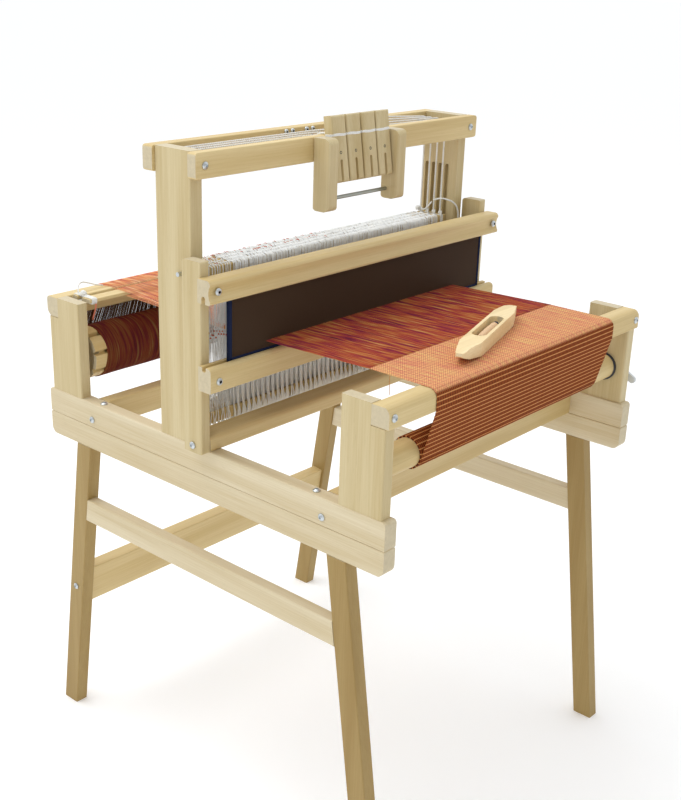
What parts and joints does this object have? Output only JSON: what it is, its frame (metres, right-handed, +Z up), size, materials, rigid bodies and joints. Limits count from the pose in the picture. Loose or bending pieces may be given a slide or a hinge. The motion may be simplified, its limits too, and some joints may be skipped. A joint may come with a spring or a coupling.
{
  "type": "table loom",
  "caption": "Four-shaft lever table loom on its own splayed-leg stand, warped, with a started cloth and a boat shuttle.",
  "frame": {"origin": "on the floor under the middle of the loom, midway between the feet and between the side rails", "axes": "+Z up, +Y from the weaver's side (breast beam) to the back (warp drum), +X to the weaver's right"},
  "size_m": [0.82, 0.8832, 1.2738],
  "materials": {
    "birch": "soaped, unvarnished birch with a soft sheen",
    "steel": "zinc-plated, dull",
    "reed_steel": "dark steel dents with a navy tape edge",
    "grey_metal": "grey, satin",
    "cord": "white twisted cotton and polyester cord",
    "warp_yarn": "space-dyed orange, red and purple yarn",
    "cloth": "woven salmon and brick red cloth",
    "shuttle_wood": "smooth, waxed hardwood",
    "cream_yarn": "cream weft wound on a tube"
  },
  "bodies": {
    "frame": {"stand_rail_left": "birch", "stand_rail_right": "birch", "leg_front_left": "birch", "leg_front_right": "birch", "leg_rear_left": "birch", "leg_rear_right": "birch", "side_stretcher_left": "birch", "side_stretcher_right": "birch", "rear_stretcher": "birch", "side_rail_left": "birch", "side_rail_right": "birch", "front_cross_rail": "birch", "rear_cross_rail": "birch", "beater_pivot_board": "birch", "front_post_left": "birch", "front_post_right": "birch", "rear_post_left": "birch", "rear_post_right": "birch", "breast_beam": "birch", "back_beam": "birch", "castle_upright_left": "birch", "castle_upright_right": "birch", "castle_front_rail": "birch", "castle_rear_rail": "birch", "lever_cheek_left": "birch", "lever_cheek_right": "birch", "castle_rods": "steel", "frame_bolts": "steel", "lease_sticks": "birch", "lease_ties": "cord", "cord_runs": "cord", "warp": "warp_yarn", "cloth": "cloth"},
    "beater": {"beater_sword_left": "birch", "beater_sword_right": "birch", "beater_cap": "birch", "beater_race": "birch", "reed": "reed_steel"},
    "shaft_1": {"shaft_1": "birch", "lift_cords_1": "cord"},
    "shaft_2": {"shaft_2": "birch", "lift_cords_2": "cord"},
    "shaft_3": {"shaft_3": "birch", "lift_cords_3": "cord"},
    "shaft_4": {"shaft_4": "birch", "lift_cords_4": "cord"},
    "lever_1": {"lever_1": "birch"},
    "lever_2": {"lever_2": "birch"},
    "lever_3": {"lever_3": "birch"},
    "lever_4": {"lever_4": "birch"},
    "cloth_beam": {"cloth_roller": "birch", "wound_cloth": "cloth", "cloth_ratchet": "grey_metal"},
    "cloth_pawl": {"cloth_pawl": "grey_metal"},
    "warp_beam": {"warp_drum": "birch", "wound_warp": "warp_yarn", "warp_ratchet": "grey_metal"},
    "warp_pawl": {"warp_pawl": "grey_metal"},
    "shuttle": {"shuttle": "shuttle_wood"},
    "bobbin": {"bobbin": "cream_yarn"}
  },
  "joints": [
    {"name": "beater_swing", "type": "hinge", "parent": "frame", "child": "beater", "pos_m": [0, -0.013, 0.7395], "axis": [1, 0, 0], "range_deg": [-4, 35]},
    {"name": "shaft_1_lift", "type": "slide", "parent": "frame", "child": "shaft_1", "axis": [0, 0, 1], "range_m": [0, 0.065], "deforming": ["lift_cords_1"]},
    {"name": "shaft_2_lift", "type": "slide", "parent": "frame", "child": "shaft_2", "axis": [0, 0, 1], "range_m": [0, 0.065], "deforming": ["lift_cords_2"]},
    {"name": "shaft_3_lift", "type": "slide", "parent": "frame", "child": "shaft_3", "axis": [0, 0, 1], "range_m": [0, 0.065], "deforming": ["lift_cords_3"]},
    {"name": "shaft_4_lift", "type": "slide", "parent": "frame", "child": "shaft_4", "axis": [0, 0, 1], "range_m": [0, 0.065], "deforming": ["lift_cords_4"]},
    {"name": "lever_1_tip", "type": "hinge", "parent": "frame", "child": "lever_1", "pos_m": [-0.0615, -0.0306, 1.17], "axis": [1, 0, 0], "range_deg": [0, 180]},
    {"name": "lever_2_tip", "type": "hinge", "parent": "frame", "child": "lever_2", "pos_m": [-0.0205, -0.0306, 1.17], "axis": [1, 0, 0], "range_deg": [0, 180]},
    {"name": "lever_3_tip", "type": "hinge", "parent": "frame", "child": "lever_3", "pos_m": [0.0205, -0.0306, 1.17], "axis": [1, 0, 0], "range_deg": [0, 180]},
    {"name": "lever_4_tip", "type": "hinge", "parent": "frame", "child": "lever_4", "pos_m": [0.0615, -0.0306, 1.17], "axis": [1, 0, 0], "range_deg": [0, 180]},
    {"name": "cloth_beam_turn", "type": "hinge", "parent": "frame", "child": "cloth_beam", "pos_m": [0, -0.3735, 0.795], "axis": [1, 0, 0], "continuous": true},
    {"name": "cloth_pawl_lift", "type": "hinge", "parent": "frame", "child": "cloth_pawl", "pos_m": [0.3838, -0.3395, 0.829], "axis": [-1, 0, 0], "range_deg": [0, 30]},
    {"name": "warp_beam_turn", "type": "hinge", "parent": "frame", "child": "warp_beam", "pos_m": [0, 0.3735, 0.8], "axis": [1, 0, 0], "continuous": true},
    {"name": "warp_pawl_lift", "type": "hinge", "parent": "frame", "child": "warp_pawl", "pos_m": [0.3838, 0.3395, 0.834], "axis": [1, 0, 0], "range_deg": [0, 30]},
    {"name": "shuttle_lift", "type": "slide", "parent": "frame", "child": "shuttle", "axis": [0, 0, 1], "range_m": [0, 0.15]},
    {"name": "bobbin_spin", "type": "hinge", "parent": "shuttle", "child": "bobbin", "pos_m": [0, -0.333, 0.9307], "axis": [0.9516, 0.3074, 0], "continuous": true}
  ],
  "couplings": [
    {"joint": "lever_1_tip", "follows": "shaft_1_lift", "rad_per_m": 48.3},
    {"joint": "lever_2_tip", "follows": "shaft_2_lift", "rad_per_m": 48.3},
    {"joint": "lever_3_tip", "follows": "shaft_3_lift", "rad_per_m": 48.3},
    {"joint": "lever_4_tip", "follows": "shaft_4_lift", "rad_per_m": 48.3}
  ]
}
